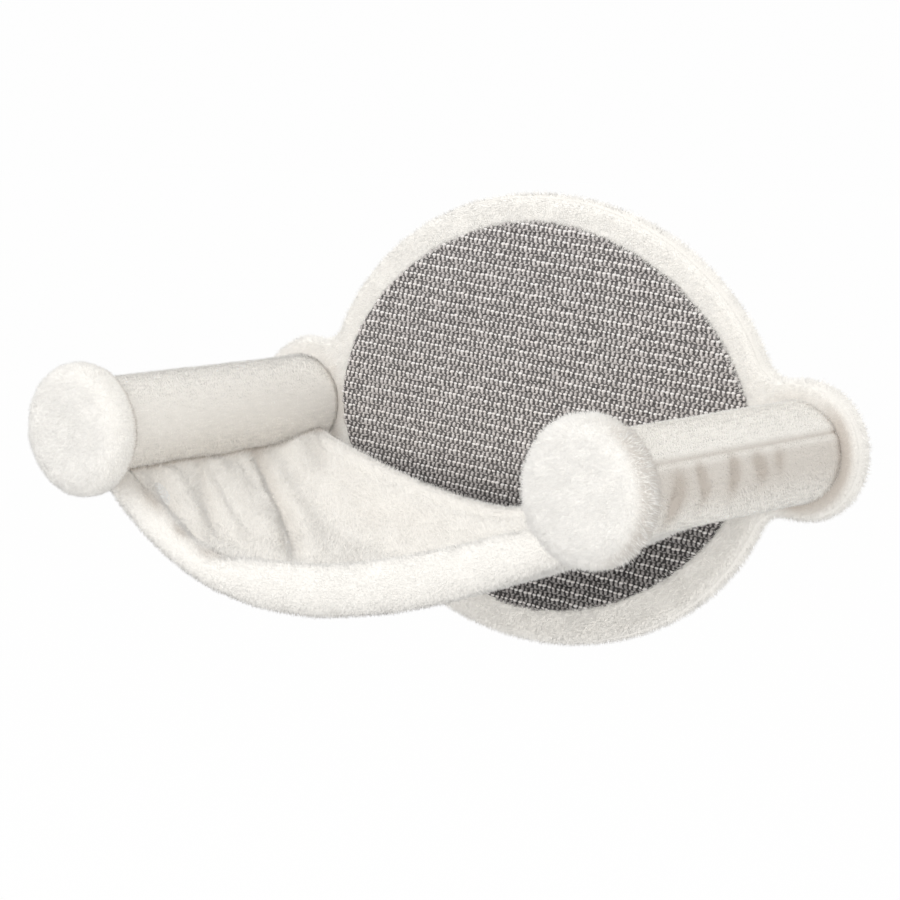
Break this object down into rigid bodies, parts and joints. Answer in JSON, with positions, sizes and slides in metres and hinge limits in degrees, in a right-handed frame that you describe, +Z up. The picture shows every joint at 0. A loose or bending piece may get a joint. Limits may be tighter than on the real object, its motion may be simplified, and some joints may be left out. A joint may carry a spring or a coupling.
{
  "type": "wall-mounted cat bed",
  "caption": "Wall-mounted cat bed: plush oval board with a woven scratch mat, plush posts with round caps, and a soft sling hung between them.",
  "frame": {"origin": "on the wall plane, halfway between the two posts' axes and level with them", "axes": "+X to the viewer's right along the wall, +Y into the wall, +Z up; the bed stands out from the wall towards -Y"},
  "size_m": [0.5458, 0.2666, 0.3294],
  "materials": {
    "plush": "short cream pile",
    "sisal": "coarse grey weave",
    "fibreboard": "raw",
    "plywood": "raw",
    "card": "wound card, matt",
    "foam": "soft foam",
    "wadding": "loose white fibre",
    "zinc_steel": "bright zinc"
  },
  "bodies": {
    "root": {"back_board": "fibreboard", "board_cover": "plush", "scratch_mat": "sisal", "left_hanger_plate": "zinc_steel", "right_hanger_plate": "zinc_steel", "left_hanger_screw_1": "zinc_steel", "left_hanger_screw_2": "zinc_steel", "right_hanger_screw_1": "zinc_steel", "right_hanger_screw_2": "zinc_steel", "left_post_tube": "card", "right_post_tube": "card", "left_post_sleeve": "plush", "right_post_sleeve": "plush", "left_rear_plug": "plywood", "right_rear_plug": "plywood", "left_front_plug": "plywood", "right_front_plug": "plywood", "left_rear_tee_nut": "zinc_steel", "right_rear_tee_nut": "zinc_steel", "left_front_tee_nut": "zinc_steel", "right_front_tee_nut": "zinc_steel", "left_cap_tee_nut": "zinc_steel", "right_cap_tee_nut": "zinc_steel", "left_post_bolt": "zinc_steel", "right_post_bolt": "zinc_steel", "left_bolt_washer": "zinc_steel", "right_bolt_washer": "zinc_steel", "left_cap_stud": "zinc_steel", "right_cap_stud": "zinc_steel", "left_cap_disc": "plywood", "right_cap_disc": "plywood", "left_cap_padding": "foam", "right_cap_padding": "foam", "left_cap_cover": "plush", "right_cap_cover": "plush", "hammock_top": "plush", "hammock_wadding": "wadding", "hammock_underside": "plush", "front_rim_cover": "plush", "front_rim_filling": "wadding", "back_rim_cover": "plush", "back_rim_filling": "wadding"}
  },
  "joints": []
}
